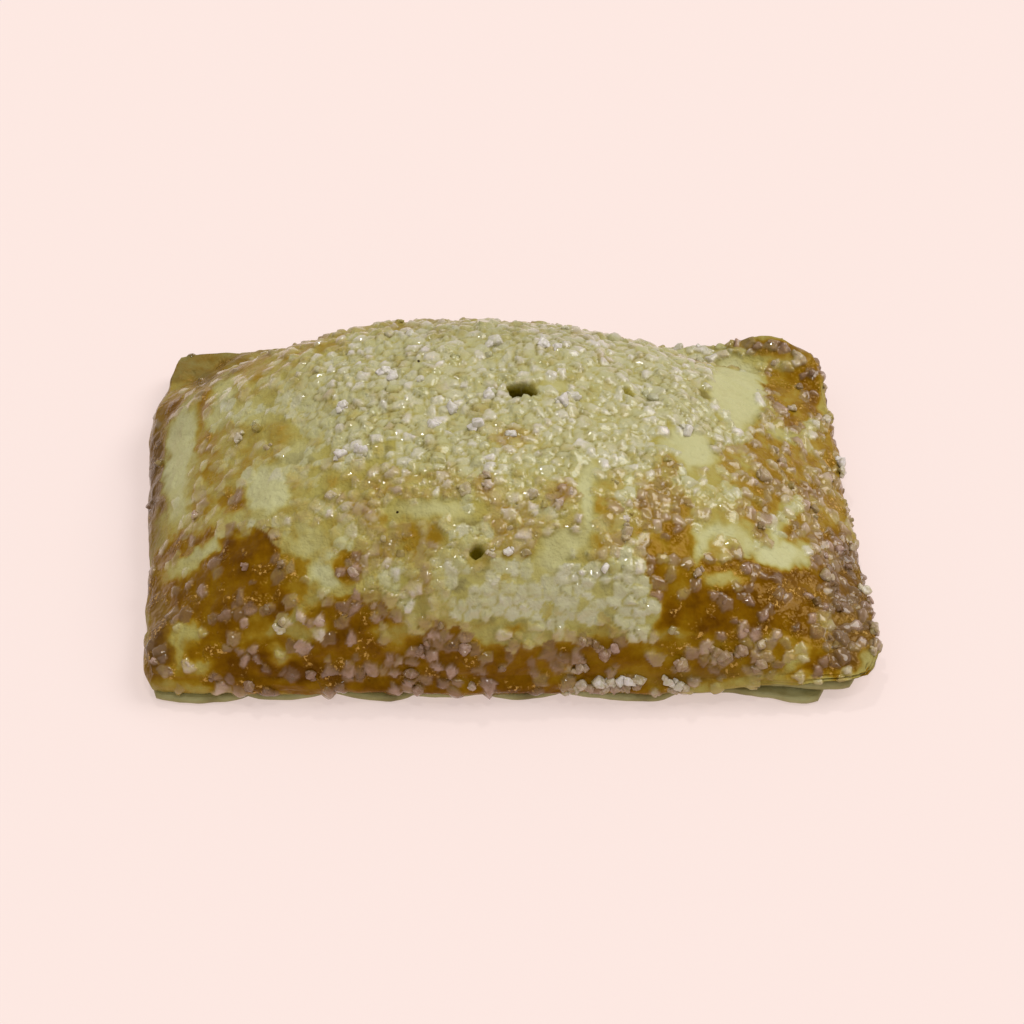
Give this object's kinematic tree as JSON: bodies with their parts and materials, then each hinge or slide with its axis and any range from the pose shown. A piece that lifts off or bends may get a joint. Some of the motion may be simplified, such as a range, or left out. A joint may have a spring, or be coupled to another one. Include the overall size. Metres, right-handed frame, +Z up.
{
  "type": "sugared puff pastry",
  "caption": "Baked puff pastry turnover: a domed rectangular pillow with flaky edges, a steam vent and coarse sugar fused to its crust.",
  "frame": {"origin": "middle of the flat base, on the surface that the pastry rests on", "axes": "+X along the long side to the right as seen from the front, +Y to the back, +Z up out of the base"},
  "size_m": [0.1364, 0.0875, 0.0338],
  "materials": {
    "crust": "baked crust, glazed in places, with coarse sugar fused to it",
    "sugar": "clear to milky sugar grains, partly melted"
  },
  "bodies": {
    "root": {"pastry": "crust"}
  },
  "joints": []
}
